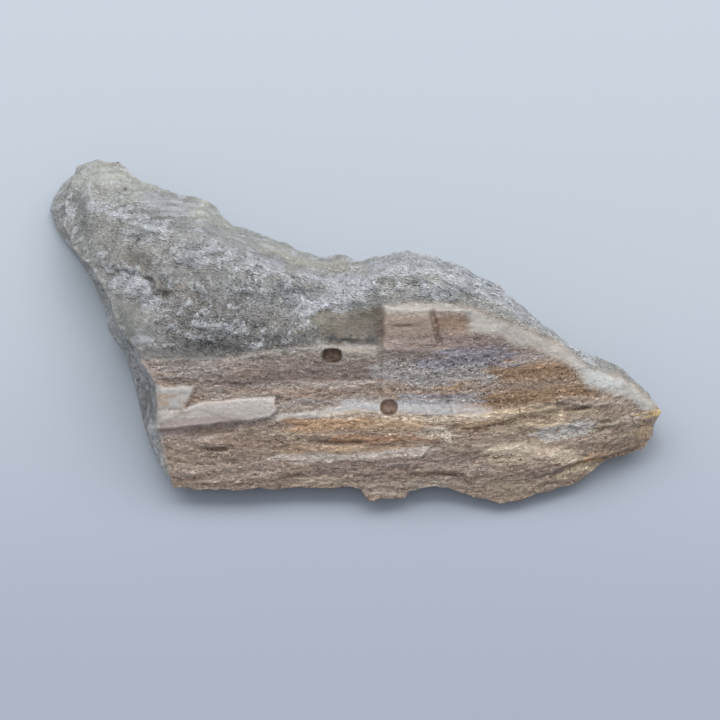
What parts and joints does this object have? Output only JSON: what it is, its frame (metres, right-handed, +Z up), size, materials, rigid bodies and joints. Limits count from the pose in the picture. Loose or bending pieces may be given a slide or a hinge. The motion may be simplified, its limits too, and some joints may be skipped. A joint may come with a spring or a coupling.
{
  "type": "petrified wood",
  "caption": "Rough hand specimen of petrified wood: a tan, fibrous bed of fossil wood fused along the front of a lumpy grey silica stone.",
  "frame": {"origin": "centre of the footprint at the level of the surface it lies on", "axes": "+Z up from the surface it rests on, +X along its long axis with the pointed wood tip at +X, the wood face towards -Y"},
  "size_m": [0.0754, 0.0474, 0.0146],
  "materials": {
    "petrified_wood": "rough broken silica: matt fibrous tan wood, grey sugary stone with glinting grains, a smooth white rim between them"
  },
  "bodies": {
    "root": {"petrified_wood": "petrified_wood"}
  },
  "joints": []
}
